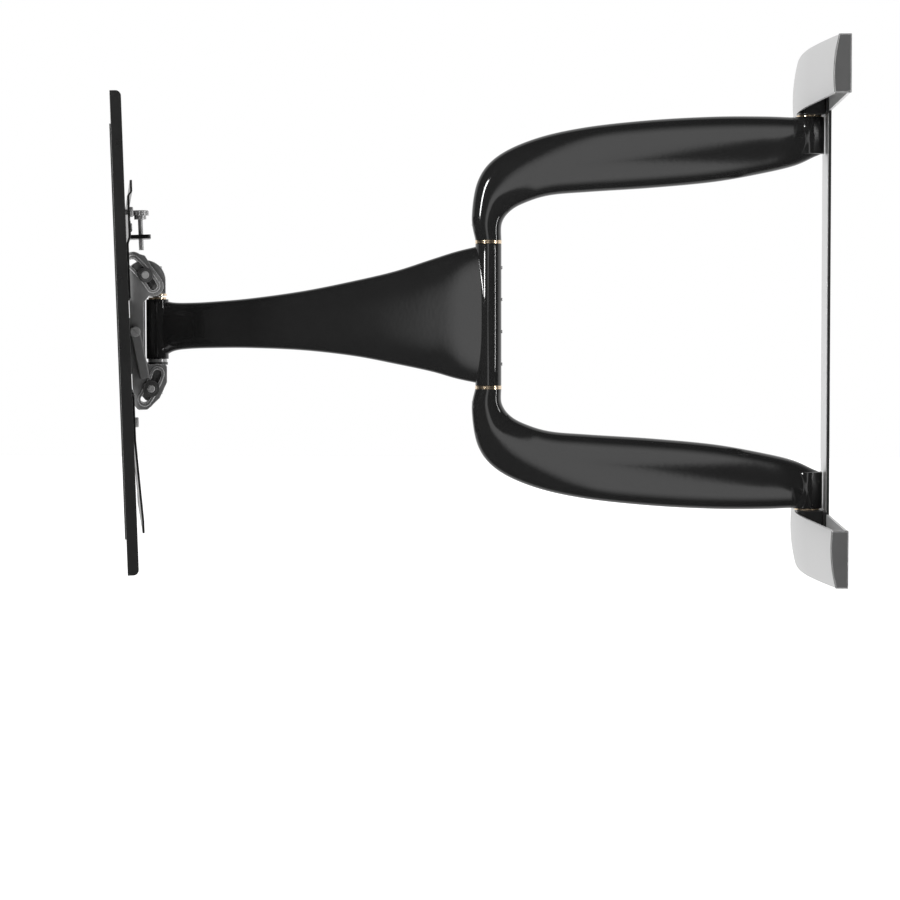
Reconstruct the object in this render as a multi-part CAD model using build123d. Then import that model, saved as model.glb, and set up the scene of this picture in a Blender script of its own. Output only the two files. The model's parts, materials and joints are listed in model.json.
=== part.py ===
# Full motion TV wall mount: bowed wall frame, two cast arms, flared forearm, tilting head and screen frame.
# Millimetres. The wall is the plane Y = 0, the mount reaches out towards -Y, +Z is up.
# The origin is the middle of the wall frame's back.
from build123d import *
import math
import os

# driving dimensions
plate = 2.5                    # steel plate thickness of the wall frame
rail_half = 234.0              # half length of a wall rail
rail_inner = 190.5             # height of a rail's inner edge above the middle
rail_outer = 238.0             # height of a rail's outer edge
spine_half = 33.0              # half width of the spine
spine_sheet = 0.6              # thickness of the satin sheet on the spine
stud_spacing = 406.4           # two wall studs, 16 inches apart
wall_slot_z = 215.0            # height of the wall slots
wall_slot_length = 30.0
wall_hole_radius = 4.5

cover_half = 235.0             # half length of a cover
cover_inner = 189.7            # height of a cover's inner edge
cover_outer = 240.4            # height of a cover's outer edge at its ends
cover_end_depth = 15.6         # depth of a cover at its ends
cover_mid_depth = 31.4         # depth of a cover at its middle
cover_knee = 100.0             # beyond this the cover's front runs straight
cover_slope = 0.085            # slope of the straight part
cover_rise = 4.6               # how far the outer edge arches up at the middle
cover_wall = 1.6
cap_thickness = 4.0
cap_gap = 0.5

pivot_y = -18.5                # wall pivot axis
pivot_pin_radius = 6.0
arm_top = 186.5                # height of the arm's top face at the wall pivot
arm_barrel_radius = 14.5
bracket_bottom = 188.0
bracket_top = 209.0
bracket_half = 20.0            # half width of the hinge bracket's body
bracket_depth = 29.0
bracket_foot = 4.0             # thickness of the bracket's foot on the spine
bracket_bolt_x = 20.0
bracket_bolt_z = 221.0
bracket_bolt_radius = 3.0
bush_bottom = 158.0            # the arm's bore for the wall pivot bush starts here
bush_radius = 8.0

elbow_y = -324.3               # elbow axis
elbow_radius = 12.6
elbow_pin_radius = 5.0
barrel_top = 67.0
barrel_bottom = -69.3
leg_end = 70.3
lower_leg_end = 72.7
elbow_pin_reach = 112.0
set_screw_z = 86.0
set_screw_radius = 2.0
barrel_screw_heights = (44.0, 13.5, -17.4, -48.7)
barrel_screw_radius = 1.6
bush_wall = 1.5

swivel_y = -645.5              # head swivel axis
front_barrel_radius = 10.8
front_barrel_top = 14.0
front_barrel_bottom = -43.7
swivel_pin_radius = 4.5
upper_lug_bottom = 19.4
lower_lug_top = -49.4
lobe_radius = 19.6             # round top of the yoke
lobe_drop = 5.2                # its centre lies this far below the upper stud
web_front = -664.0             # screen side of the yoke

running = 0.05                 # radial clearance of a shaft in its bush
snug = 0.02                    # clearance of a piece that is fixed in its hole
rest_swivel = 10.6             # the head stands turned by this much, degrees
rest_tilt = 1.8                # and leans forward by this much, degrees

tilt_y = -738.0                # the tilt turns about a line in front of the screen plane
tilt_z = -28.0
upper_stud = (103.5, 38.9)     # radius and angle of the upper tilt stud about that line
lower_stud = (96.2, -27.2)
tilt_up = 9.4                  # slot length beyond each side of the stud, degrees
tilt_down = 7.1
stud_radius = 3.6
slot_half = 4.0

yoke_half = 22.0               # half width of the yoke casting
ear_inner = 24.0               # the ears stand outside the yoke
ear_outer = 28.5
ear_rim = 1.2
foot_screw_heights = (-50.0, -16.0)
foot_screw_radius = 2.2
lever_point = (-667.0, -19.6)  # axis of the tension lever, upright head
lever_end = (-659.4, -64.2)
lever_inner = 32.6             # the lever's bar passes outside the washers
lever_outer = 36.5
tension_radius = 2.5

screen_y = -683.5              # plane that the screen bolts to
screen_z = -20.5               # height of the screen pattern's centre
screen_pattern = 400.0
screen_hole_radius = 4.25
upright_depth = 10.0
upright_width = 34.0
upright_half = 215.5
upright_sheet = 2.0
frame_plate = 2.0              # thickness of the pressed screen plate
frame_half = 210.0
face_y = -671.5                # wall side of the screen plate
recess_depth = 6.0
base_back = -677.4             # the tilt base lies in the recess
base_front = -674.0
foot_front = -669.5            # wall side of the ears' feet
foot_x = 17.0                  # the feet are screwed down here
recess_top = 4.0
recess_bottom = -68.0
roll_z = -32.0                 # height of the levelling pivot
roll_radius = 5.0
window_half = 38.0             # the head passes into two windows of the screen plate as it tilts and rolls
upper_window = (12.0, 63.5)
lower_window = (-102.0, -74.5)
lock_radius = 2.5              # screws that clamp the uprights
tab_bottom = 69.6
tab_top = 73.4
tab_back = -669.4 + snug       # the tab's leg lies on the plate
tab_rivet_x = 12.0
tab_rivet_z = 81.0
rivet_radius = 2.0
tab_half = 20.0
tab_front = -648.6
thumb_screw_y = -657.8         # the thumb screw stands over the yoke's round top
thumb_screw_radius = 2.3
thumb_knob_radius = 8.4
thumb_notches = 16


def block(x_range, y_range, z_range):
    """Box between two corners, given as a low and a high value on each axis."""
    sizes = [high - low for low, high in (x_range, y_range, z_range)]
    centre = [(high + low) / 2 for low, high in (x_range, y_range, z_range)]
    return Pos(*centre) * Box(*sizes)


def rod(x, y, z_range, radius):
    """Upright cylinder."""
    low, high = z_range
    return Pos(x, y, (low + high) / 2) * Cylinder(radius, high - low)


def sleeve(y, z_range, outer_radius, inner_radius):
    """Upright tube."""
    low, high = z_range
    return rod(0, y, z_range, outer_radius) - rod(0, y, (low - 1, high + 1), inner_radius)


def cross_rod(x_range, y, z, radius):
    """Cylinder along X."""
    low, high = x_range
    return Pos((low + high) / 2, y, z) * Rot(0, 90, 0) * Cylinder(radius, high - low)


def deep_rod(x, y_range, z, radius):
    """Cylinder along Y."""
    low, high = y_range
    return Pos(x, (low + high) / 2, z) * Rot(90, 0, 0) * Cylinder(radius, high - low)


def side_slab(outline, x_range):
    """Outline drawn in the Y-Z plane, thickened along X."""
    low, high = x_range
    return Pos(low, 0, 0) * extrude(Plane.YZ * outline, high - low)


def rounded_outline(points, radius):
    """Closed outline with every corner rounded."""
    sketch = make_face(Polyline(*points, close=True))
    return fillet(sketch.vertices(), radius)


def mirrored(shape):
    """The same shape below the middle."""
    return mirror(shape, Plane.XY)


def turned(shape):
    """Place a head part, drawn straight, at the head's resting swivel."""
    return Pos(0, swivel_y, 0) * Rot(0, 0, rest_swivel) * Pos(0, -swivel_y, 0) * shape


def leaned(shape):
    """Place a screen-side part, drawn upright, at the resting tilt and swivel."""
    lean = Pos(0, tilt_y, tilt_z) * Rot(rest_tilt, 0, 0) * Pos(0, -tilt_y, -tilt_z)
    return turned(lean * shape)


def about_tilt(radius, angle):
    """Point in the Y-Z plane at a radius and angle about the tilt line."""
    turn = math.radians(angle)
    return (tilt_y + radius * math.cos(turn), tilt_z + radius * math.sin(turn))


def group(shapes, place=None):
    """Several separate solids in one node, each put in its place by a placing function."""
    solids = [solid for shape in shapes for solid in shape.solids()]
    if place:
        solids = [place(solid) for solid in solids]
    return Compound(solids)


parts = {}


# ---------------------------------------------------------------- wall frame

def make_spine():
    lap_low = bracket_bottom + 0.2
    spine = block((-spine_half, spine_half), (-plate, 0), (-rail_inner, rail_inner))
    lap = block((-spine_half, spine_half), (-2 * plate, -plate), (lap_low, rail_outer - 4))
    return spine + lap + mirrored(lap)


def make_rail():
    rail = block((-rail_half, rail_half), (-plate, 0), (rail_inner, rail_outer))
    half_straight = wall_slot_length / 2 - wall_hole_radius
    for x in (-stud_spacing / 2, stud_spacing / 2):
        middle = block((x - half_straight, x + half_straight), (-3 * plate, plate),
                       (wall_slot_z - wall_hole_radius, wall_slot_z + wall_hole_radius))
        rail -= middle
        for end in (x - half_straight, x + half_straight):
            rail -= deep_rod(end, (-3 * plate, plate), wall_slot_z, wall_hole_radius)
    return rail


def cover_depth(x):
    """Depth of a cover's front: a shallow arc in the middle, straight towards the ends."""
    reach = abs(x)
    if reach >= cover_knee:
        return cover_end_depth + cover_slope * (cover_half - reach)
    knee_depth = cover_end_depth + cover_slope * (cover_half - cover_knee)
    return cover_mid_depth - (cover_mid_depth - knee_depth) * (reach / cover_knee) ** 2


def cover_section(x, inset, inner_edge):
    """Closed cross-section of a cover at x, drawn smaller by inset."""
    depth = cover_depth(x) - inset
    top = cover_outer + cover_rise * (1 - (x / cover_half) ** 2) - inset
    back = inset if inset else 0
    corner_depth = depth - 4.6
    front = ThreePointArc((x, -depth + 0.9, inner_edge), (x, -depth, inner_edge + 17), (x, -corner_depth, top))
    lip = (x, -depth + 0.9, inner_edge)
    wall_line = Polyline((x, -corner_depth, top), (x, back, top), (x, back, inner_edge), lip)
    return Wire([front.edge()] + list(wall_line.edges()))


def make_cover():
    stations = [-cover_half, -170, -cover_knee, 0, cover_knee, 170, cover_half]
    outside = Solid.make_loft([cover_section(x, 0, cover_inner) for x in stations])
    inside = Solid.make_loft([cover_section(x * 1.01, cover_wall, cover_inner - 4) for x in stations])
    return Part() + outside - inside


def make_end_cap(side):
    outline = Face(cover_section(cover_half, 0, cover_inner))
    cap = extrude(outline, cap_thickness, dir=(1, 0, 0))
    cap = Pos(cap_gap, 0, 0) * cap
    outer_face = cap.faces().sort_by(Axis.X)[-1]
    cap = chamfer(outer_face.edges(), 0.8)
    start = cover_half - 7
    tongue = block((start, cover_half + cap_gap), (-10, -plate - 0.3), (cover_inner + 6, cover_outer - 8))
    cap = cap + tongue
    return cap if side > 0 else mirror(cap, Plane.YZ)


def make_hinge_bracket():
    lap = -2 * plate
    body = block((-bracket_half, bracket_half), (-bracket_depth, lap), (bracket_bottom, bracket_top))
    body = fillet(body.edges().filter_by(Axis.Z).group_by(Axis.Y)[0], 8)
    foot_half = bracket_half + 10
    foot = block((-foot_half, foot_half), (lap - bracket_foot, lap), (bracket_top - 1, rail_outer - 5))
    bracket = body + foot
    bracket -= rod(0, pivot_y, (bracket_bottom - 1, bracket_top + 1), pivot_pin_radius)
    for x in (-bracket_bolt_x, bracket_bolt_x):
        bracket -= deep_rod(x, (-20, 0), bracket_bolt_z, bracket_bolt_radius)
    return bracket


def bracket_bolt(x, z):
    seat = -2 * plate - bracket_foot
    shank = deep_rod(x, (seat, -plate), z, bracket_bolt_radius)
    head = deep_rod(x, (seat - 3, seat), z, 5.5)
    return fillet(head.edges().group_by(Axis.Y)[0], 1.2) + shank


def make_wall_frame():
    spine = make_spine()
    for x in (-bracket_bolt_x, bracket_bolt_x):
        for z in (bracket_bolt_z, -bracket_bolt_z):
            spine -= deep_rod(x, (-20, 1), z, bracket_bolt_radius)
    parts["wall_spine"] = spine
    sheet_half = spine_half - 0.6
    parts["spine_cover"] = block((-sheet_half, sheet_half), (-plate - spine_sheet, -plate),
                                 (-bracket_bottom, bracket_bottom))
    parts["rail_top"] = make_rail()
    parts["rail_bottom"] = mirrored(make_rail())
    parts["cover_top"] = make_cover()
    parts["cover_bottom"] = mirrored(make_cover())
    for side, word in ((1, "right"), (-1, "left")):
        parts["end_cap_top_" + word] = make_end_cap(side)
        parts["end_cap_bottom_" + word] = mirrored(make_end_cap(side))
    parts["hinge_bracket_top"] = make_hinge_bracket()
    parts["hinge_bracket_bottom"] = mirrored(make_hinge_bracket())
    bolts = [bracket_bolt(x, bracket_bolt_z) for x in (-bracket_bolt_x, bracket_bolt_x)]
    parts["bracket_bolts"] = group(bolts + [mirrored(bolt) for bolt in bolts])
    pin = rod(0, pivot_y, (160, bracket_top - 1), pivot_pin_radius)
    pin += rod(0, pivot_y, (bracket_top, bracket_top + 3), pivot_pin_radius + 3)
    pin += rod(0, pivot_y, (bracket_top - 1, bracket_top), pivot_pin_radius)
    parts["wall_pivot_pins"] = group([pin, mirrored(pin)])


# ---------------------------------------------------------------- cast arms

def oval(centre, across, half_thickness, fullness):
    """Closed rounded section. across is half the width, as a step in Y and Z; the thickness runs along X."""
    points = []
    steps = 20
    for step in range(steps):
        turn = 2 * math.pi * step / steps
        wide = math.copysign(abs(math.cos(turn)) ** (2 / fullness), math.cos(turn))
        thick = math.copysign(abs(math.sin(turn)) ** (2 / fullness), math.sin(turn))
        points.append((half_thickness * thick, centre[0] + across[0] * wide, centre[1] + across[1] * wide))
    return Wire([Edge.make_spline(points, periodic=True)])


def oval_loft(stations, fullness):
    """Solid through rounded sections. A station is its outer point, inner point and half thickness."""
    wires = []
    for outer, inner, half_thickness in stations:
        centre = ((outer[0] + inner[0]) / 2, (outer[1] + inner[1]) / 2)
        across = ((outer[0] - inner[0]) / 2, (outer[1] - inner[1]) / 2)
        wires.append(oval(centre, across, half_thickness, fullness))
    return Part() + Solid.make_loft(wires)


# outer edge, inner edge and half thickness of the upper arm, from the elbow to the wall
arm_stations = [
    ((-336.9, 70.3), (-311.7, 70.3), 12.6),
    ((-340.4, 93.0), (-311.4, 86.0), 12.8),
    ((-334.4, 127.5), (-304.5, 97.0), 13.2),
    ((-316.0, 150.5), (-291.0, 105.3), 13.7),
    ((-280.0, 167.3), (-266.0, 113.0), 14.1),
    ((-232.0, 178.0), (-228.0, 116.2), 14.4),
    ((-170.0, 184.6), (-168.0, 119.9), 14.5),
    ((-110.0, 187.6), (-108.0, 125.4), 14.5),
    ((-62.0, 187.6), (-62.0, 133.4), 14.5),
    ((-32.0, 186.5), (-32.0, 140.5), 14.5),
    ((-14.0, 186.4), (-14.0, 147.5), 13.9),
]


def make_arm(leg_height):
    arm = oval_loft(arm_stations, 2.5)
    arm += rod(0, pivot_y, (151.5, arm_top), arm_barrel_radius)
    arm -= block((-30, 30), (-45, 0), (arm_top, arm_top + 10))
    arm -= block((-30, 30), (-360, -290), (0, leg_height))
    arm -= rod(0, pivot_y, (bush_bottom, arm_top + 1), bush_radius)
    arm -= rod(0, elbow_y, (0, elbow_pin_reach), elbow_pin_radius)
    arm -= deep_rod(0, (-360, elbow_y), set_screw_z, set_screw_radius)
    return arm


def arm_set_screw():
    return deep_rod(0, (-339.6, elbow_y - elbow_pin_radius), set_screw_z, set_screw_radius)


def make_arms():
    parts["upper_arm"] = make_arm(leg_end)
    parts["lower_arm"] = mirrored(make_arm(lower_leg_end))
    bush = sleeve(pivot_y, (bush_bottom, arm_top), bush_radius, pivot_pin_radius + running)
    parts["wall_pivot_bushes"] = group([bush, mirrored(bush)])
    washer = sleeve(pivot_y, (arm_top, bracket_bottom - 0.1), 12, pivot_pin_radius + running)
    parts["wall_pivot_washers"] = group([washer, mirrored(washer)])
    parts["elbow_pin"] = rod(0, elbow_y, (-elbow_pin_reach, elbow_pin_reach), elbow_pin_radius)
    parts["arm_set_screws"] = group([arm_set_screw(), mirrored(arm_set_screw())])
    washers = []
    for low, high in ((barrel_top + 0.1, leg_end), (-lower_leg_end, barrel_bottom - 0.1)):
        middle = (low + high) / 2
        for z_range in ((low, middle - 0.1), (middle + 0.1, high)):
            washers.append(sleeve(elbow_y, z_range, elbow_radius + 0.2, elbow_pin_radius))
    parts["elbow_washers"] = group(washers)


# distance from the elbow axis towards the screen, top edge, bottom edge and half thickness of the forearm
forearm_stations = [
    (4.0, 66.0, -68.3, 11.6),
    (30.0, 60.0, -63.0, 11.8),
    (55.0, 52.2, -56.0, 11.6),
    (90.0, 41.0, -48.6, 11.2),
    (129.0, 31.9, -41.2, 10.7),
    (178.0, 22.2, -35.6, 10.2),
    (230.0, 15.0, -33.3, 9.9),
    (285.0, 11.0, -33.8, 9.7),
    (314.0, 9.8, -35.4, 9.6),
]


def make_forearm():
    stations = [((elbow_y - out, top), (elbow_y - out, bottom), half)
                for out, top, bottom, half in forearm_stations]
    arm = oval_loft(stations, 3.0)
    arm += rod(0, elbow_y, (barrel_bottom, barrel_top), elbow_radius)
    arm += rod(0, swivel_y, (front_barrel_bottom, front_barrel_top), front_barrel_radius)
    arm -= rod(0, elbow_y, (barrel_bottom - 1, barrel_top + 1), elbow_pin_radius + bush_wall)
    arm -= rod(0, swivel_y, (front_barrel_bottom - 1, front_barrel_top + 1), swivel_pin_radius + bush_wall)
    for z in barrel_screw_heights:
        arm -= deep_rod(0, (elbow_y + elbow_pin_radius + bush_wall, elbow_y + 20), z, barrel_screw_radius)
    return arm


def barrel_screw(z):
    reach = elbow_y + elbow_radius
    return deep_rod(0, (elbow_y + elbow_pin_radius + 3.5, reach + 0.9), z, barrel_screw_radius)


def make_forearm_parts():
    parts["forearm"] = make_forearm()
    length = 30.0
    outer = elbow_pin_radius + bush_wall
    parts["elbow_bushes"] = group([
        sleeve(elbow_y, (barrel_top - length, barrel_top), outer, elbow_pin_radius + running),
        sleeve(elbow_y, (barrel_bottom, barrel_bottom + length), outer, elbow_pin_radius + running)])
    length = 18.0
    outer = swivel_pin_radius + bush_wall
    inner = swivel_pin_radius + running
    parts["swivel_bushes"] = group([
        sleeve(swivel_y, (front_barrel_top - length, front_barrel_top), outer, inner),
        sleeve(swivel_y, (front_barrel_bottom, front_barrel_bottom + length), outer, inner)])
    parts["barrel_screws"] = group([barrel_screw(z) for z in barrel_screw_heights])
    middle = (front_barrel_top + upper_lug_bottom) / 2
    parts["swivel_washers_upper"] = group([
        sleeve(swivel_y, (front_barrel_top, middle - 0.9), 8.6, inner),
        sleeve(swivel_y, (middle + 0.7, upper_lug_bottom - 0.1), 9.2, inner)])
    parts["swivel_washer_lower"] = sleeve(swivel_y, (-46.6, front_barrel_bottom), 9.2, inner)


# ---------------------------------------------------------------- head

def stud_point(stud, turn=0.0):
    radius, angle = stud
    return about_tilt(radius, angle + turn)


def make_yoke():
    """Casting between the ears: an upper and a lower lug joined by a web in front of the forearm barrel."""
    upper_y, upper_z = stud_point(upper_stud)
    lobe_z = upper_z - lobe_drop
    lobe = Pos(upper_y, lobe_z) * Circle(lobe_radius)
    lobe += Pos(upper_y + lobe_radius / 2, (lobe_z + upper_lug_bottom) / 2) * Rectangle(
        lobe_radius, lobe_z - upper_lug_bottom)
    lobe -= Pos(upper_y, upper_lug_bottom - 30) * Rectangle(80, 60)
    upper = side_slab(lobe, (-yoke_half, yoke_half))
    lower_y, lower_z = stud_point(lower_stud)
    lower_outline = rounded_outline([
        (web_front, lower_lug_top), (-637.4, lower_lug_top), (-637.0, -66.0),
        (-645.0, -79.5), (-657.0, -84.0), (web_front, -76.0)], 3)
    lower = side_slab(lower_outline, (-yoke_half, yoke_half))
    web = block((-yoke_half, yoke_half), (web_front, web_front + 6.5), (-60, 34))
    web = fillet(web.edges().filter_by(Axis.Z).group_by(Axis.Y)[0], 3)
    yoke = upper + web + lower
    yoke -= rod(0, swivel_y, (-90, 60), swivel_pin_radius + snug)
    yoke -= block((-30, 30), (web_front + 6.5, -600), (lower_lug_top, upper_lug_bottom))
    for y, z in ((upper_y, upper_z), (lower_y, lower_z)):
        for side in (1, -1):
            yoke -= cross_rod(sorted((side * 11.9, side * 40)), y, z, stud_radius + snug)
    return yoke


def tilt_stud(stud, side):
    y, z = stud_point(stud)
    stem = cross_rod(sorted((side * 12, side * 33.2)), y, z, stud_radius)
    end = stem.faces().sort_by(Axis.X)[-1 if side > 0 else 0]
    return chamfer(end.edges(), 0.7)


def cross_washer(stud, side, x_range, radius):
    y, z = stud_point(stud)
    low, high = sorted((side * x_range[0], side * x_range[1]))
    return cross_rod((low, high), y, z, radius) - cross_rod((low - 1, high + 1), y, z, stud_radius + snug)


def make_yoke_parts():
    parts["swivel_yoke"] = turned(make_yoke())
    pin = rod(0, swivel_y, (-78, 46), swivel_pin_radius)
    parts["swivel_pin"] = turned(pin)
    parts["swivel_washer_black"] = turned(sleeve(swivel_y, (lower_lug_top + snug, -46.8), 9.8,
                                                 swivel_pin_radius + snug))
    washer_low = ear_outer + ear_rim + 0.1
    studs = []
    friction = []
    washers = []
    nuts = []
    for stud, washer_radius in ((upper_stud, 7.3), (lower_stud, 8.0)):
        for side in (1, -1):
            studs.append(tilt_stud(stud, side))
            friction.append(cross_washer(stud, side, (yoke_half + snug, ear_inner - 0.1), 8.5))
            washers.append(cross_washer(stud, side, (washer_low, washer_low + 1.6), washer_radius))
            nuts.append(cross_washer(stud, side, (washer_low + 1.62, washer_low + 2.6), 5.2))
    parts["tilt_studs"] = group(studs, turned)
    parts["friction_washers"] = group(friction, turned)
    parts["tilt_washers"] = group(washers, turned)
    parts["tilt_nuts"] = group(nuts, turned)


def arc_slot(stud, half_width, overrun=0.0):
    """Curved slot about the tilt line, drawn in the Y-Z plane for the upright head."""
    radius, angle = stud
    start = angle - rest_tilt - tilt_down - overrun
    finish = angle - rest_tilt + tilt_up + overrun
    arc = ThreePointArc(about_tilt(radius, start), about_tilt(radius, (start + finish) / 2),
                        about_tilt(radius, finish))
    return SlotArc(arc, 2 * half_width)


def make_ear(side):
    """Side casting with two curved slots and a raised rim around each."""
    upper_boss = arc_slot(upper_stud, slot_half + 6.0)
    lower_boss = arc_slot(lower_stud, slot_half + 5.2)
    spine = rounded_outline([
        (-672.4, 53.4), (-666.0, 56.6), (-655.0, 53.0), (-650.0, 44.0), (-651.0, 16.0), (-658.0, 8.0),
        (-659.6, -42.0), (-655.6, -51.4), (-637.8, -52.0), (-638.4, -69.0), (-646.0, -84.0),
        (-658.0, -94.6), (-667.0, -94.6), (-672.4, -88.0)], 2.5)
    outline = spine + upper_boss + lower_boss
    ear = side_slab(outline, (ear_inner, ear_outer))
    for stud in (upper_stud, lower_stud):
        ear += side_slab(arc_slot(stud, slot_half + 2.6), (ear_outer, ear_outer + ear_rim))
    for stud in (upper_stud, lower_stud):
        ear -= side_slab(arc_slot(stud, slot_half), (ear_inner - 1, ear_outer + ear_rim + 1))
    ear -= block((0, 60), (-700, face_y + 0.4), (-120, 80))
    foot = block((10, ear_outer), (base_front + snug, foot_front), (-60, -6))
    ear += fillet(foot.edges().filter_by(Axis.Y).group_by(Axis.X)[0], 4)
    for z in foot_screw_heights:
        ear -= deep_rod(foot_x, (-690, -660), z, foot_screw_radius + snug)
    ear -= cross_rod((ear_inner - 1, ear_outer + 1), lever_point[0], lever_point[1], tension_radius + snug)
    return ear if side > 0 else mirror(ear, Plane.YZ)


def make_lever():
    run = math.dist(lever_point, lever_end)
    lean = math.degrees(math.atan2(lever_end[0] - lever_point[0], lever_point[1] - lever_end[1]))
    bar = block((lever_inner, lever_outer), (-4.8, 4.8), (-run, 0))
    bar = fillet(bar.edges().filter_by(Axis.Z).group_by(Axis.X)[-1], 1.6)
    hub = cross_rod((ear_outer + 0.1, lever_outer), 0, 0, 5.6)
    lever = hub + bar - cross_rod((20, 40), 0, 0, tension_radius + running)
    return Pos(0, lever_point[0], lever_point[1]) * Rot(lean, 0, 0) * lever


def make_tension_screw():
    y, z = lever_point
    head_low = lever_outer + 0.1
    screw = cross_rod((ear_inner + 0.3, head_low), y, z, tension_radius)
    head = cross_rod((head_low, head_low + 2.2), y, z, 4.9)
    head = chamfer(head.faces().sort_by(Axis.X)[-1].edges(), 0.5)
    slot = Pos(head_low + 2.2, y, z) * Rot(45, 0, 0) * Box(2.2, 1.2, 12)
    return screw + head - slot


def ear_screw(side, z):
    x = side * foot_x
    shank = deep_rod(x, (base_back + 0.5, foot_front + snug), z, foot_screw_radius)
    head = deep_rod(x, (foot_front + snug, foot_front + 2.0), z, 4.2)
    return shank + chamfer(head.edges().group_by(Axis.Y)[-1], 0.6)


def make_tilt_bracket():
    base = block((-ear_outer, ear_outer), (base_back, base_front), (-60, -6))
    base -= deep_rod(0, (-690, -660), roll_z, roll_radius + running)
    for side in (1, -1):
        for z in foot_screw_heights:
            base -= deep_rod(side * foot_x, (base_back + 0.4, -660), z, foot_screw_radius + snug)
    parts["tilt_base"] = leaned(base)
    parts["tilt_ear_right"] = leaned(make_ear(1))
    parts["tilt_ear_left"] = leaned(make_ear(-1))
    parts["ear_screws"] = group([ear_screw(side, z) for side in (1, -1) for z in foot_screw_heights], leaned)
    parts["tension_screw"] = leaned(make_tension_screw())
    parts["tension_lever"] = leaned(make_lever())


# ---------------------------------------------------------------- screen frame

def make_screen_plate():
    """Pressed plate: stepped section along its whole width, hooked at the top and flared at the bottom."""
    flat = face_y
    deep = face_y - recess_depth
    wall_side = [
        (-666.6, 116.0), (-666.6, 106.0), (-669.4, 102.0), (-669.4, 66.0), (flat, 60.0), (flat, recess_top + 7),
        (deep, recess_top), (deep, recess_bottom), (flat, recess_bottom - 7), (flat, -116.0), (-667.0, -188.0),
        (-667.0, -199.0)]
    screen_side = [(y - frame_plate, z) for y, z in reversed(wall_side)]
    body = side_slab(make_face(Polyline(*wall_side, *screen_side, close=True)), (-frame_half, frame_half))
    for window in (upper_window, lower_window):
        body -= block((-window_half, window_half), (-700, -650), window)
    for side in (1, -1):
        notch = sorted((side * (screen_pattern / 2 - upright_width / 2 - 1), side * (frame_half + 1)))
        body -= block(notch, (-700, -650), (recess_bottom - 7.2, recess_top + 7.2))
    for side in (1, -1):
        for x in (78, 148):
            for low, high in ((20, 54), (-108, -82)):
                hole = Pos(side * x, 0, (low + high) / 2) * Rot(90, 0, 0) * extrude(
                    SlotOverall(50, high - low), 40, both=True)
                body -= Pos(0, -675, 0) * hole
    body -= deep_rod(0, (-700, -650), roll_z, roll_radius + snug)
    for x, z in lock_points():
        body -= deep_rod(x, (-700, -650), z, lock_radius + snug)
    for x in (-tab_rivet_x, tab_rivet_x):
        body -= deep_rod(x, (-680, -660), tab_rivet_z, rivet_radius + snug)
    return body


def plate_pieces(body):
    """The plate is welded from two side panels and three bridges; the windows lie between the bridges."""
    depth = (-700, -650)
    height = (-210, 130)
    reach = frame_half + 5
    return {
        "screen_plate_right": body & block((window_half, reach), depth, height),
        "screen_plate_left": body & block((-reach, -window_half), depth, height),
        "plate_bridge_top": body & block((-window_half, window_half), depth, (upper_window[1], height[1])),
        "plate_bridge_middle": body & block(
            (-window_half, window_half), depth, (lower_window[1], upper_window[0])),
        "plate_bridge_bottom": body & block((-window_half, window_half), depth, (height[0], lower_window[0])),
    }


def lock_points():
    """Where the uprights are clamped to the plate."""
    return [(side * screen_pattern / 2, z) for side in (1, -1) for z in (88.0, -100.0)]


def make_upright(side):
    """Channel, open towards the screen plate's edge, with the screen bolt holes in its front web."""
    x = side * screen_pattern / 2
    low = screen_z - upright_half
    high = screen_z + upright_half
    back = screen_y + upright_depth - snug
    outline = make_face(Polyline((screen_y, low), (screen_y, high), (back, high), (back, low), close=True))
    wall_side_corners = outline.vertices().sort_by(Axis.X)[-2:]
    outline = fillet(wall_side_corners, 5)
    body = side_slab(outline, (x - upright_width / 2, x + upright_width / 2))
    hollow = block((x - upright_width / 2 + upright_sheet, x + upright_width / 2 - upright_sheet),
                   (screen_y + upright_sheet, back + 1), (low + 6, high - 6))
    body -= hollow
    for z in (screen_z - screen_pattern / 2, screen_z + screen_pattern / 2):
        body -= deep_rod(x, (screen_y - 1, screen_y + 5), z, screen_hole_radius)
    for z in (screen_z - 100, screen_z + 100):
        body -= deep_rod(x, (screen_y - 1, screen_y + 5), z, screen_hole_radius)
    return body


def make_thumb_tab():
    shelf = block((-tab_half, tab_half), (tab_back, tab_front), (tab_bottom, tab_top))
    shelf = fillet(shelf.edges().filter_by(Axis.Z).group_by(Axis.Y)[-1], 3)
    tab = shelf + block((-tab_half, tab_half), (tab_back, tab_back + 2), (tab_bottom, tab_rivet_z + 6))
    tab -= rod(0, thumb_screw_y, (60, 80), thumb_screw_radius + running)
    for x in (-tab_rivet_x, tab_rivet_x):
        tab -= deep_rod(x, (-680, -660), tab_rivet_z, rivet_radius + snug)
    return tab


def tab_rivet(x):
    shank = deep_rod(x, (tab_back - frame_plate, tab_back + 2 + snug), tab_rivet_z, rivet_radius)
    head = deep_rod(x, (tab_back + 2 + snug, tab_back + 3.4), tab_rivet_z, 3.8)
    return shank + fillet(head.edges().group_by(Axis.Y)[-1], 0.9)


def make_thumb_screw():
    """Stem, hub and notched knob. The stem stands over the yoke and stops the tilt."""
    stem = rod(0, thumb_screw_y, (59.0, 89.0), thumb_screw_radius)
    hub = rod(0, thumb_screw_y, (88.6, 92.3), 5.8)
    knob = rod(0, thumb_screw_y, (92.3, 97.3), thumb_knob_radius)
    knob = chamfer(knob.faces().sort_by(Axis.Z)[-1].edges(), 0.8)
    reach = thumb_knob_radius + 0.5
    for notch in range(thumb_notches):
        turn = 2 * math.pi * notch / thumb_notches
        knob -= rod(reach * math.cos(turn), thumb_screw_y + reach * math.sin(turn), (92.0, 98.0), 1.0)
    return stem + hub + knob


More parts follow.
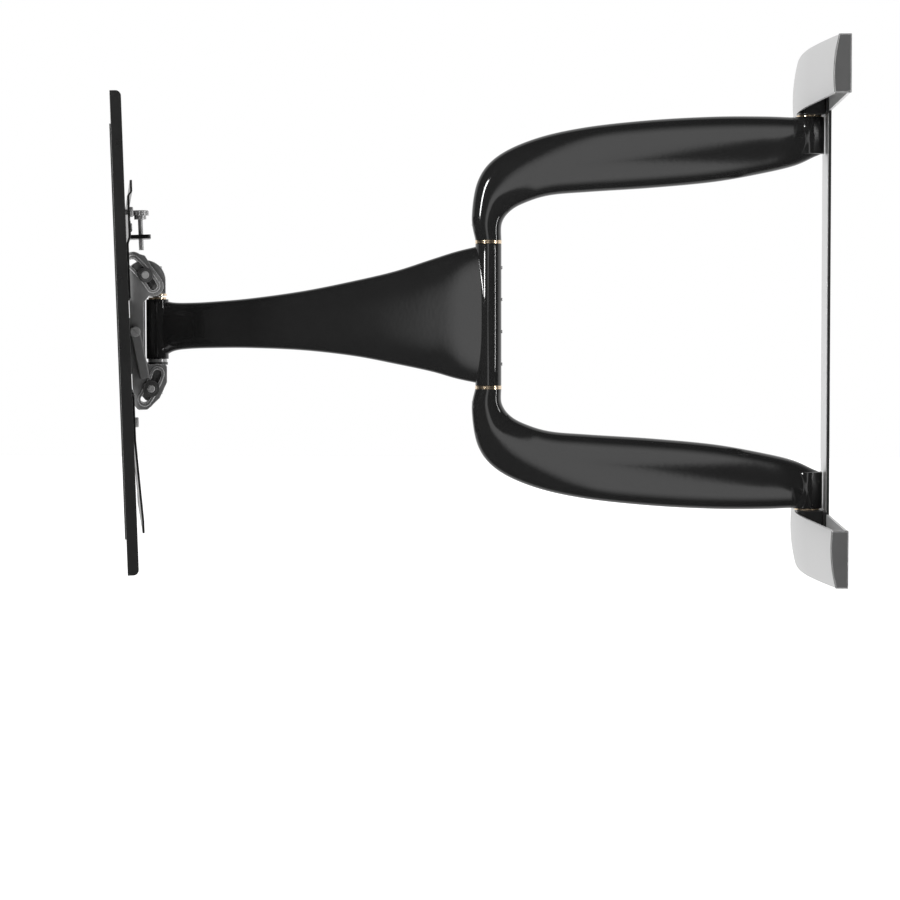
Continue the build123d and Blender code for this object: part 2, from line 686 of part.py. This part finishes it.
def make_roll_bolt():
    shank = deep_rod(0, (base_back - frame_plate, base_front + 0.2), roll_z, roll_radius)
    head = deep_rod(0, (base_front + 0.1, base_front + 3.4), roll_z, 8.5)
    return shank + chamfer(head.edges().group_by(Axis.Y)[-1], 0.8)


def lock_screw(x, z):
    back = face_y if z < 0 else -669.4
    back += snug
    shank = deep_rod(x, (screen_y + upright_sheet + 0.4, back), z, lock_radius)
    head = deep_rod(x, (back, back + 3.0), z, 4.5)
    head = chamfer(head.edges().group_by(Axis.Y)[-1], 0.6)
    return shank + head


def make_screen_frame():
    for name, piece in plate_pieces(make_screen_plate()).items():
        parts[name] = leaned(piece)
    parts["thumb_tab"] = leaned(make_thumb_tab())
    parts["tab_rivets"] = group([tab_rivet(x) for x in (-tab_rivet_x, tab_rivet_x)], leaned)
    parts["level_pivot_bolt"] = leaned(make_roll_bolt())
    parts["upright_right"] = leaned(make_upright(1))
    parts["upright_left"] = leaned(make_upright(-1))
    parts["upright_lock_screws"] = group([lock_screw(x, z) for x, z in lock_points()], leaned)
    parts["thumb_screw"] = leaned(make_thumb_screw())


make_wall_frame()
make_arms()
make_forearm_parts()
make_yoke_parts()
make_tilt_bracket()
make_screen_frame()

os.makedirs("parts", exist_ok=True)
for name, shape in parts.items():
    export_step(shape, "parts/" + name + ".step")
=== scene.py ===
import bpy
import bmesh
import json
import math
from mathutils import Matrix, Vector


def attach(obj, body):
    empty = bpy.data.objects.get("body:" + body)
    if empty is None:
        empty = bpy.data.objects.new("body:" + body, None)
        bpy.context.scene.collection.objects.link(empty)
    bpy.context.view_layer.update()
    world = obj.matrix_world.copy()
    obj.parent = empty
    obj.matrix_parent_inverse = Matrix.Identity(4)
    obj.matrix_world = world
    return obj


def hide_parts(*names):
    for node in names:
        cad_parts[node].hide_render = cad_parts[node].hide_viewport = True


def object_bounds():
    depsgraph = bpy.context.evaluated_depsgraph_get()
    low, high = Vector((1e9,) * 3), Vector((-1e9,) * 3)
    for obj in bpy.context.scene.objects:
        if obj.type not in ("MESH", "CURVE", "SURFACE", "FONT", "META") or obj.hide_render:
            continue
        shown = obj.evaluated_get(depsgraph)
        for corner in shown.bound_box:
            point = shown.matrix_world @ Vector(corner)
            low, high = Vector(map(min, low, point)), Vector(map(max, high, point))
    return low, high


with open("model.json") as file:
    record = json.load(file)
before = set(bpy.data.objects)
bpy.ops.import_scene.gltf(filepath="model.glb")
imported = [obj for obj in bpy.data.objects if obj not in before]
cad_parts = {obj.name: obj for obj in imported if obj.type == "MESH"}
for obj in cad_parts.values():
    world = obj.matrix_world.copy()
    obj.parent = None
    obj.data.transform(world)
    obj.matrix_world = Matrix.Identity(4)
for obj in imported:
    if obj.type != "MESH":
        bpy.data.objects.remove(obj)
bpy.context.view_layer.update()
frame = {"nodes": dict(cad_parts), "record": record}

# full motion wall mount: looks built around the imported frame, in metres with +Z up and the wall at Y = 0

nodes = frame["nodes"]
mm = 0.001
tau = 2 * math.pi
print("frame loaded:", len(nodes), "nodes")


# shader groups, built once and used by every finish

def newGroup(name, inputs, outputs):
    group = bpy.data.node_groups.new(name, "ShaderNodeTree")
    for label, kind, value in inputs:
        socket = group.interface.new_socket(label, in_out="INPUT", socket_type=kind)
        socket.default_value = value
    for label, kind in outputs:
        group.interface.new_socket(label, in_out="OUTPUT", socket_type=kind)
    return group, group.nodes.new("NodeGroupInput"), group.nodes.new("NodeGroupOutput")


def addNode(tree, kind, **settings):
    node = tree.nodes.new(kind)
    for key, value in settings.items():
        setattr(node, key, value)
    return node


def feed(tree, socket, value):
    # a number is set on the socket, anything else is linked to it
    if isinstance(value, (int, float)):
        socket.default_value = value
    else:
        tree.links.new(value, socket)


def mathNode(tree, operation, first, second=None, clamp=False):
    node = addNode(tree, "ShaderNodeMath", operation=operation, use_clamp=clamp)
    feed(tree, node.inputs[0], first)
    if second is not None:
        feed(tree, node.inputs[1], second)
    return node.outputs[0]


def noiseNode(tree, vector, scale, detail, roughness):
    node = addNode(tree, "ShaderNodeTexNoise")
    tree.links.new(vector, node.inputs["Vector"])
    feed(tree, node.inputs["Scale"], scale)
    node.inputs["Detail"].default_value = detail
    node.inputs["Roughness"].default_value = roughness
    return node.outputs["Fac"]


def buildSoftEdge():
    # rounded shading normal at sharp edges, and a mask of where the edges are
    group, inp, out = newGroup(
        "softEdge",
        [("Radius", "NodeSocketFloat", 0.0006), ("Gain", "NodeSocketFloat", 4.0)],
        [("Normal", "NodeSocketVector"), ("Edge", "NodeSocketFloat")])
    bevel = addNode(group, "ShaderNodeBevel", samples=6)
    group.links.new(inp.outputs["Radius"], bevel.inputs["Radius"])
    geometry = addNode(group, "ShaderNodeNewGeometry")
    dot = addNode(group, "ShaderNodeVectorMath", operation="DOT_PRODUCT")
    group.links.new(bevel.outputs["Normal"], dot.inputs[0])
    group.links.new(geometry.outputs["Normal"], dot.inputs[1])
    turned = mathNode(group, "SUBTRACT", 1.0, dot.outputs["Value"])
    gained = mathNode(group, "MULTIPLY", turned, inp.outputs["Gain"], clamp=True)
    group.links.new(bevel.outputs["Normal"], out.inputs["Normal"])
    group.links.new(gained, out.inputs["Edge"])
    return group


def buildGrain():
    # fine grain height, and a slow cloud for small changes of shade and gloss
    group, inp, out = newGroup(
        "grain",
        [("Fine Scale", "NodeSocketFloat", 1500.0), ("Cloud Scale", "NodeSocketFloat", 30.0),
         ("Stretch", "NodeSocketVector", (1.0, 1.0, 1.0))],
        [("Height", "NodeSocketFloat"), ("Cloud", "NodeSocketFloat")])
    coords = addNode(group, "ShaderNodeTexCoord")
    stretch = addNode(group, "ShaderNodeVectorMath", operation="MULTIPLY")
    group.links.new(coords.outputs["Object"], stretch.inputs[0])
    group.links.new(inp.outputs["Stretch"], stretch.inputs[1])
    fine = noiseNode(group, stretch.outputs["Vector"], inp.outputs["Fine Scale"], detail=2.0, roughness=0.55)
    cloud = noiseNode(group, coords.outputs["Object"], inp.outputs["Cloud Scale"], detail=3.0, roughness=0.6)
    group.links.new(fine, out.inputs["Height"])
    group.links.new(cloud, out.inputs["Cloud"])
    return group


def buildToneWithEdgeHighlight():
    # a colour that changes a little with a cloud, and turns to a lighter edge colour along sharp edges, a painted
    # highlight
    colour = "NodeSocketColor"
    group, inp, out = newGroup(
        "toneWithEdgeHighlight",
        [("Base", colour, (0.1, 0.1, 0.1, 1)), ("Deep", colour, (0.05, 0.05, 0.05, 1)),
         ("Edge Colour", colour, (0.4, 0.4, 0.4, 1)),
         ("Cloud", "NodeSocketFloat", 0.5), ("Edge", "NodeSocketFloat", 0.0)],
        [("Color", colour)])

    def blend(factor, first, second):
        mix = addNode(group, "ShaderNodeMix", data_type="RGBA")
        for index, value in ((0, factor), (6, first), (7, second)):  # a mix node's factor and its two colours
            group.links.new(value, mix.inputs[index])
        return mix.outputs[2]

    clouded = blend(inp.outputs["Cloud"], inp.outputs["Deep"], inp.outputs["Base"])
    group.links.new(blend(inp.outputs["Edge"], clouded, inp.outputs["Edge Colour"]), out.inputs["Color"])
    return group


def buildSpread():
    # spreads a cloud over a low and a high value
    group, inp, out = newGroup(
        "spread",
        [("Cloud", "NodeSocketFloat", 0.5), ("Low", "NodeSocketFloat", 0.2), ("High", "NodeSocketFloat", 0.3)],
        [("Value", "NodeSocketFloat")])
    span = mathNode(group, "SUBTRACT", inp.outputs["High"], inp.outputs["Low"])
    part = mathNode(group, "MULTIPLY", span, inp.outputs["Cloud"])
    group.links.new(mathNode(group, "ADD", part, inp.outputs["Low"]), out.inputs["Value"])
    return group


softEdge = buildSoftEdge()
grain = buildGrain()
toneWithEdgeHighlight = buildToneWithEdgeHighlight()
spread = buildSpread()


def placeGroup(tree, group, **values):
    node = addNode(tree, "ShaderNodeGroup", node_tree=group)
    for key, value in values.items():
        label = key.replace("_", " ")  # keywords can't hold the socket names' spaces
        if hasattr(value, "is_linked"):
            tree.links.new(value, node.inputs[label])
        else:
            node.inputs[label].default_value = value
    return node


def grey(level):
    return (level, level, level, 1)


# one finish per entry: colours, whose edge colour is a painted highlight along sharp edges, roughness range, grain
# and cloud scale per metre, grain height and edge radius in metres, gain of the painted edge highlight, and stretch of
# the grain along X, Y and Z
finishes = {
    "enamelBlack": dict(base=grey(0.0085), deep=grey(0.006), edge=grey(0.012), rough=(0.05, 0.09), metallic=0.0,
                        fine=260.0, cloud=16.0, height=0.000012, edgeRadius=0.0008, gain=0.3),
    "satinSilver": dict(base=grey(0.52), deep=grey(0.45), edge=grey(0.72), rough=(0.30, 0.38), metallic=0.92,
                        fine=900.0, cloud=22.0, height=0.000006, edgeRadius=0.0006, gain=2.0,
                        stretch=(0.04, 1.0, 1.0)),
    "silverSheet": dict(base=grey(0.62), deep=grey(0.54), edge=grey(0.72), rough=(0.34, 0.42), metallic=0.9,
                        fine=900.0, cloud=22.0, height=0.000006, edgeRadius=0.0002, gain=2.0,
                        stretch=(1.0, 1.0, 0.04)),
    "railGrey": dict(base=grey(0.48), deep=grey(0.40), edge=grey(0.6), rough=(0.42, 0.5), metallic=0.3,
                     fine=1200.0, cloud=25.0, height=0.000012, edgeRadius=0.0004, gain=2.0),
    "gunmetal": dict(base=grey(0.075), deep=grey(0.05), edge=grey(0.7), rough=(0.30, 0.42), metallic=0.3,
                     fine=1800.0, cloud=35.0, height=0.000016, edgeRadius=0.0009, gain=6.0),
    "powderBlack": dict(base=grey(0.005), deep=grey(0.003), edge=grey(0.10), rough=(0.24, 0.34), metallic=0.0,
                        fine=1500.0, cloud=30.0, height=0.00003, edgeRadius=0.0006, gain=2.0),
    "castGrey": dict(base=grey(0.16), deep=grey(0.08), edge=grey(0.7), rough=(0.30, 0.45), metallic=0.15,
                     fine=1100.0, cloud=60.0, height=0.00004, edgeRadius=0.0009, gain=6.0),
    "zincSteel": dict(base=grey(0.42), deep=grey(0.30), edge=grey(0.9), rough=(0.24, 0.36), metallic=0.5,
                      fine=2400.0, cloud=120.0, height=0.00001, edgeRadius=0.0003, gain=3.0),
    "turnedBrass": dict(base=(0.88, 0.72, 0.52, 1), deep=(0.74, 0.56, 0.38, 1), edge=(0.97, 0.9, 0.78, 1),
                        rough=(0.16, 0.26), metallic=1.0, fine=3000.0, cloud=150.0, height=0.000006,
                        edgeRadius=0.0003, gain=3.0, stretch=(0.2, 0.2, 3.0)),
    "darkNylon": dict(base=grey(0.05), deep=grey(0.03), edge=grey(0.3), rough=(0.4, 0.5), metallic=0.0,
                      fine=2200.0, cloud=90.0, height=0.000014, edgeRadius=0.0004, gain=3.0),
    "greyLever": dict(base=grey(0.15), deep=grey(0.12), edge=grey(0.45), rough=(0.36, 0.46), metallic=0.2,
                      fine=1600.0, cloud=80.0, height=0.00002, edgeRadius=0.0007, gain=2.5),
}


def makeFinish(name, look):
    material = bpy.data.materials.new(name)
    material.use_nodes = True
    tree = material.node_tree
    shader = tree.nodes["Principled BSDF"]
    edge = placeGroup(tree, softEdge, Radius=look["edgeRadius"], Gain=look["gain"])
    speck = placeGroup(tree, grain, Fine_Scale=look["fine"], Cloud_Scale=look["cloud"],
                       Stretch=look.get("stretch", (1.0, 1.0, 1.0)))
    # the edge colour is a painted highlight, laid over the sharp edges by the edge mask
    tone = placeGroup(tree, toneWithEdgeHighlight, Base=look["base"], Deep=look["deep"], Edge_Colour=look["edge"],
                      Cloud=speck.outputs["Cloud"], Edge=edge.outputs["Edge"])
    smoothest, dullest = look["rough"]
    gloss = placeGroup(tree, spread, Cloud=speck.outputs["Cloud"], Low=smoothest, High=dullest)
    bump = addNode(tree, "ShaderNodeBump")
    bump.inputs["Distance"].default_value = look["height"]
    bump.inputs["Strength"].default_value = 1.0
    tree.links.new(speck.outputs["Height"], bump.inputs["Height"])
    tree.links.new(edge.outputs["Normal"], bump.inputs["Normal"])
    tree.links.new(tone.outputs["Color"], shader.inputs["Base Color"])
    tree.links.new(gloss.outputs["Value"], shader.inputs["Roughness"])
    tree.links.new(bump.outputs["Normal"], shader.inputs["Normal"])
    shader.inputs["Metallic"].default_value = look["metallic"]
    return material


finish = {name: makeFinish(name, look) for name, look in finishes.items()}
print("finishes made:", len(finish))

slotFinish = {  # the record's material slot, then its finish here
    "black_steel": "powderBlack", "satin_silver": "satinSilver", "rail_steel": "railGrey", "gunmetal": "gunmetal",
    "gloss_black": "enamelBlack", "grey_casting": "castGrey", "zinc": "zincSteel", "brass": "turnedBrass",
    "dark_washer": "darkNylon", "grey_lever": "greyLever", "upright_paint": "powderBlack",
}


def shadeSmooth(piece, angle=32):  # degrees
    # smooth faces, split at edges sharper than the angle
    mesh = piece.data
    mesh.polygons.foreach_set("use_smooth", [True] * len(mesh.polygons))
    work = bmesh.new()
    work.from_mesh(mesh)
    sharp = [edge.index for edge in work.edges
             if len(edge.link_faces) == 2 and edge.calc_face_angle(0.0) > math.radians(angle)]
    work.free()
    flags = [False] * len(mesh.edges)
    for index in sharp:
        flags[index] = True
    mesh.edges.foreach_set("use_edge_sharp", flags)
    mesh.update()


slotOf = {row["node"]: row["material_slot"] for row in frame["record"]["subparts"]}
ownFinish = {"spine_cover": "silverSheet"}  # brushed along its height, unlike the other silver pieces
for name, node in nodes.items():
    node.data.materials.clear()
    node.data.materials.append(finish[ownFinish.get(name, slotFinish[slotOf[name]])])
    shadeSmooth(node)
print("CAD nodes finished")


# castings and pressed covers, built finer than the CAD

def curveThrough(stations, steps):
    # smooth stations in between, by a curve through every number
    rows = [[value for part in station for value in (part if isinstance(part, tuple) else (part,))]
            for station in stations]
    made = []
    for index in range(len(rows) - 1):
        before = rows[max(index - 1, 0)]
        first, second = rows[index], rows[index + 1]
        after = rows[min(index + 2, len(rows) - 1)]
        for step in range(steps):
            t = step / steps
            made.append([0.5 * (2 * b + (c - a) * t + (2 * a - 5 * b + 4 * c - d) * t * t
                                + (3 * b - a - 3 * c + d) * t ** 3)
                         for a, b, c, d in zip(before, first, second, after)])
    made.append(rows[-1])
    return made


def circle(radius, points):
    # offsets of a circle's points from its centre
    for index in range(points):
        turn = tau * index / points
        yield radius * math.sin(turn), radius * math.cos(turn)


def ovalRing(outer, inner, half, fullness, points=64):
    # rounded section between an outer and an inner edge point in the Y-Z plane, squarer as fullness grows past 2
    centre = ((outer[0] + inner[0]) / 2, (outer[1] + inner[1]) / 2)
    across = ((outer[0] - inner[0]) / 2, (outer[1] - inner[1]) / 2)
    ring = []
    for sine, cosine in circle(1, points):
        wide = math.copysign(abs(cosine) ** (2 / fullness), cosine)
        thick = math.copysign(abs(sine) ** (2 / fullness), sine)
        ring.append(Vector((half * thick, centre[0] + across[0] * wide, centre[1] + across[1] * wide)) * mm)
    return ring


def skin(mesh, rings):
    # quads between closed rings, with both ends filled
    rows = [[mesh.verts.new(point) for point in ring] for ring in rings]
    count = len(rows[0])
    for low, high in zip(rows, rows[1:]):
        for index in range(count):
            after = (index + 1) % count
            mesh.faces.new((low[index], low[after], high[after], high[index]))
    mesh.faces.new(list(reversed(rows[0])))
    mesh.faces.new(rows[-1])


def barrel(mesh, y, low, high, radius, edge=0.5, points=72):
    # upright round barrel with eased edges
    ease = edge * (1 - math.sqrt(0.5))
    profile = [(radius - edge, low), (radius - ease, low + ease), (radius, low + edge), (radius, high - edge),
               (radius - ease, high - ease), (radius - edge, high)]
    skin(mesh, [[Vector((across, y + along, z)) * mm for across, along in circle(ring, points)]
                for ring, z in profile])


def makePiece(name, build, material, body, slot, *replaced, smooth=35):
    # builds one piece, puts it on its body and takes the CAD nodes' place
    work = bmesh.new()
    build(work)
    bmesh.ops.recalc_face_normals(work, faces=work.faces)
    mesh = bpy.data.meshes.new(name)
    work.to_mesh(mesh)
    work.free()
    piece = bpy.data.objects.new(name, mesh)
    bpy.context.scene.collection.objects.link(piece)
    mesh.materials.append(finish[material])
    shadeSmooth(piece, smooth)
    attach(piece, body)
    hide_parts(*replaced)


curveSteps = 10  # rings between two stations of an arm or the forearm

fork = dict(  # stations: outer edge, inner edge and half thickness, from the elbow to the wall, in millimetres
    stations=[((-336.9, 70.3), (-311.7, 70.3), 12.6), ((-340.4, 93), (-311.4, 86), 12.8),
              ((-334.4, 127.5), (-304.5, 97), 13.2), ((-316, 150.5), (-291, 105.3), 13.7),
              ((-280, 167.3), (-266, 113), 14.1), ((-232, 178), (-228, 116.2), 14.4),
              ((-170, 184.6), (-168, 119.9), 14.5), ((-110, 187.6), (-108, 125.4), 14.5),
              ((-62, 187.6), (-62, 133.4), 14.5), ((-32, 186.5), (-32, 140.5), 14.5),
              ((-14, 186.4), (-14, 148.5), 13.6),
              ((-8, 186.4), (-8, 151.2), 11.0), ((-4.6, 186.2), (-4.6, 154.5), 6.5)],
    lowerEnd=((-337.2, 72.7), (-311.7, 72.7), 12.6), fullness=2.5,
    wallBarrel=(-18.5, 151.5, 186.5, 14.5))  # Y, low end, high end and radius


def buildArm(side):
    # the upper arm for side 1, and the lower one, whose elbow end stands a little lower, for side -1
    def build(work):
        stations = list(fork["stations"])
        if side < 0:
            stations[0] = fork["lowerEnd"]
        rings = []
        for row in curveThrough(stations, curveSteps):
            ring = ovalRing(row[0:2], row[2:4], row[4], fork["fullness"])
            rings.append([Vector((point.x, point.y, point.z * side)) for point in ring])
        skin(work, rings)
        y, low, high, radius = fork["wallBarrel"]
        barrel(work, y, *sorted((low * side, high * side)), radius)
    return build


forearmShape = dict(  # stations: distance from the elbow's axis, top, bottom and half thickness; barrels as above
    stations=[(4, 66, -68.3, 11.6), (30, 60, -63, 11.8), (55, 52.2, -56, 11.6), (90, 41, -48.6, 11.2),
              (129, 31.9, -41.2, 10.7), (178, 22.2, -35.6, 10.2), (230, 15, -33.3, 9.9), (270, 11.6, -33.4, 9.8),
              (292, 10.7, -34.3, 9.6), (304, 10.9, -36.0, 9.4), (311, 12.0, -39.2, 9.3), (317, 13.4, -42.9, 9.2)],
    fullness=3.0, elbow=(-324.3, -69.3, 67.0, 12.6), front=(-645.5, -43.7, 14.0, 10.8))


def buildForearm(work):
    elbowLine = forearmShape["elbow"][0]
    rings = [ovalRing((elbowLine - row[0], row[1]), (elbowLine - row[0], row[2]), row[3], forearmShape["fullness"])
             for row in curveThrough(forearmShape["stations"], curveSteps)]
    skin(work, rings)
    for y, low, high, radius in (forearmShape["elbow"], forearmShape["front"]):
        barrel(work, y, low, high, radius)


coverShape = dict(half=235.0, inner=189.7, outer=240.4, endDepth=15.6, midDepth=31.4, knee=100.0, slope=0.085,
                  rise=4.6, wall=1.6, corner=4.6, lip=0.9, lipPart=0.33, ease=1.0, wallGap=0.05,
                  stepsAlong=96, stepsRound=14)


def coverDepth(x):
    # flat slope towards the ends, and a bow between the knees
    c = coverShape
    reach = abs(x)
    if reach >= c["knee"]:
        return c["endDepth"] + c["slope"] * (c["half"] - reach)
    kneeDepth = c["endDepth"] + c["slope"] * (c["half"] - c["knee"])
    return c["midDepth"] - (c["midDepth"] - kneeDepth) * (reach / c["knee"]) ** 2


def coverLine(x, inset, side):
    # open line of the cover's section, from its inner edge round the front to the wall
    c = coverShape
    lipPart = c["lipPart"]
    depth = coverDepth(x) - inset
    top = c["outer"] + c["rise"] * (1 - (x / c["half"]) ** 2) - inset
    points = []
    for step in range(c["stepsRound"] + 1):
        t = step / c["stepsRound"]
        z = c["inner"] + (top - c["inner"]) * t
        if t < lipPart:
            swell = c["lip"] * (1 - t / lipPart) ** 2
        else:
            swell = c["corner"] * ((t - lipPart) / (1 - lipPart)) ** 2
        points.append((-depth + swell, z))
    ease = c["ease"]  # rounds the front corner, then the line runs back to just off the wall
    cornerY = points[-1][0]
    points[-1] = (cornerY - 0.15 * ease, top - ease)
    points += [(cornerY + 0.3 * ease, top - 0.3 * ease), (cornerY + 1.2 * ease, top), (-c["wallGap"], top)]
    return [Vector((x, y, z * side)) * mm for y, z in points]


def buildCover(side):
    def build(work):
        c = coverShape
        rings = []
        for step in range(c["stepsAlong"] + 1):
            x = c["half"] * (2 * step / c["stepsAlong"] - 1)
            outside = coverLine(x, 0, side)
            inside = coverLine(x, c["wall"], side)
            rings.append(outside + list(reversed(inside)))
        skin(work, rings)
    return build


makePiece("upperArmCasting", buildArm(1), "enamelBlack", "fork", "gloss_black", "upper_arm")
makePiece("lowerArmCasting", buildArm(-1), "enamelBlack", "fork", "gloss_black", "lower_arm")
makePiece("forearmCasting", buildForearm, "enamelBlack", "forearm_body", "gloss_black", "forearm")
makePiece("coverTopShell", buildCover(1), "satinSilver", "wall_frame", "satin_silver", "cover_top")
makePiece("coverBottomShell", buildCover(-1), "satinSilver", "wall_frame", "satin_silver", "cover_bottom")
print("castings and covers built")


setScrew = dict(height=86, points=24,  # radius and Y, from the socket's floor round the rim to the buried end
                profile=[(0.9, -337.5), (0.9, -340.0), (1.1, -340.2), (1.8, -340.2), (2.0, -340.0), (2.0, -334)])


def buildSetScrews(work):
    # socket screws that hold the elbow pin, just proud of the arms
    for side in (1, -1):
        skin(work, [[Vector((across, y, side * setScrew["height"] + up)) * mm
                     for across, up in circle(radius, setScrew["points"])] for radius, y in setScrew["profile"]])


makePiece("armSetScrews", buildSetScrews, "zincSteel", "fork", "zinc", "arm_set_screws")


# stage, lights and camera

studio = dict(floorDrop=0.30, floorSize=16.0, floorShade=0.86, floorRough=0.8, floorGlow=0.75,
              backGlow=1.0, frontGlow=1.5, roomGlow=0.07)

# where the sky's glow starts and is full, as parts of the unit direction: x is the viewer's side, y the wall's, z up
sky = dict(back=(0.05, -0.35), front=(0.35, 0.6), panelNear=(0.03, 0.0), panelFar=(-0.12, -0.05),
           panelTilt=0.25, panelHeight=(0.85, 0.45))

lamps = dict(  # place, aim, size across and up in metres, power in watts, seen in reflections
    wallSideStrip=((0.9, 1.7, 0.1), (0, -0.3, 0), (0.12, 1.6), 14.0, True),
    frontSpark=((1.5, -1.25, 0.45), (0, -0.45, 0), (0.16, 0.5), 12.0, True),
    softFill=((1.9, -1.3, 1.3), (0, -0.4, 0), (1.4, 1.4), 70.0, False))  # lights the dull castings only

camera = dict(place=(2.5753, -0.2113, -0.0082), yaw=3.334, pitch=2.739, roll=0.024, lens=106.95)  # metres, degrees, mm


def makeStage():
    low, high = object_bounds()
    mesh = bpy.data.meshes.new("studioFloor")
    half = studio["floorSize"] / 2
    height = low.z - studio["floorDrop"]
    mesh.from_pydata([(-half, -half, height), (half, -half, height), (half, half, height), (-half, half, height)],
                     [], [(0, 1, 2, 3)])
    floor = bpy.data.objects.new("studioFloor", mesh)
    bpy.context.scene.collection.objects.link(floor)
    paint = bpy.data.materials.new("paleFloor")
    paint.use_nodes = True
    shader = paint.node_tree.nodes["Principled BSDF"]
    shader.inputs["Base Color"].default_value = grey(studio["floorShade"])
    shader.inputs["Roughness"].default_value = studio["floorRough"]
    shader.inputs["Emission Color"].default_value = (1, 1, 1, 1)
    shader.inputs["Emission Strength"].default_value = studio["floorGlow"]
    mesh.materials.append(paint)
    floor.visible_glossy = False


def makeWorld():
    # white paper behind, a broad soft panel beside the viewer, a dim room elsewhere
    world = bpy.data.worlds.new("studioSky")
    bpy.context.scene.world = world
    world.use_nodes = True
    tree = world.node_tree
    paper = tree.nodes["Background"]
    coords = addNode(tree, "ShaderNodeTexCoord")
    split = addNode(tree, "ShaderNodeSeparateXYZ")
    tree.links.new(coords.outputs["Generated"], split.inputs[0])

    def ramp(source, key):
        node = addNode(tree, "ShaderNodeMapRange", interpolation_type="SMOOTHSTEP")
        tree.links.new(source, node.inputs["Value"])
        node.inputs["From Min"].default_value, node.inputs["From Max"].default_value = sky[key]
        return node.outputs["Result"]

    def times(first, second):
        return mathNode(tree, "MULTIPLY", first, second)

    x, y, z = split.outputs
    height = mathNode(tree, "ABSOLUTE", z)
    lean = mathNode(tree, "SUBTRACT", y, times(height, sky["panelTilt"]))  # wider towards the wall, high and low
    panel = times(ramp(lean, "panelNear"), ramp(y, "panelFar"))
    front = times(times(times(ramp(x, "front"), panel), ramp(height, "panelHeight")), studio["frontGlow"])
    back = times(ramp(x, "back"), studio["backGlow"])
    glow = mathNode(tree, "ADD", mathNode(tree, "ADD", front, back), studio["roomGlow"])
    seen = addNode(tree, "ShaderNodeLightPath").outputs["Is Camera Ray"]
    hidden = mathNode(tree, "SUBTRACT", 1.0, seen)
    tree.links.new(mathNode(tree, "ADD", times(glow, hidden), seen), paper.inputs["Strength"])
    paper.inputs["Color"].default_value = (1, 1, 1, 1)


def addLamp(name, place, target, size, power, reflected):
    lamp = bpy.data.lights.new(name, "AREA")
    lamp.shape = "RECTANGLE"
    lamp.size, lamp.size_y = size
    lamp.energy = power
    holder = bpy.data.objects.new(name, lamp)
    holder.location = place
    holder.rotation_euler = (Vector(target) - Vector(place)).to_track_quat("-Z", "Y").to_euler()
    holder.visible_glossy = reflected
    bpy.context.scene.collection.objects.link(holder)


def makeCamera():
    # long lens beside the mount, looking along the wall
    optics = bpy.data.cameras.new("sideCamera")
    optics.lens = camera["lens"]
    optics.sensor_width = 36
    optics.clip_end = 50
    holder = bpy.data.objects.new("sideCamera", optics)
    holder.location = camera["place"]
    yaw, pitch, roll = (math.radians(camera[key]) for key in ("yaw", "pitch", "roll"))
    holder.rotation_euler = (math.radians(90) - pitch, roll, math.radians(90) + yaw)
    bpy.context.scene.collection.objects.link(holder)
    bpy.context.scene.camera = holder


makeStage()
makeWorld()
for name, settings in lamps.items():
    addLamp(name, *settings)
makeCamera()
bpy.context.scene.view_settings.view_transform = "Standard"
print("stage set")
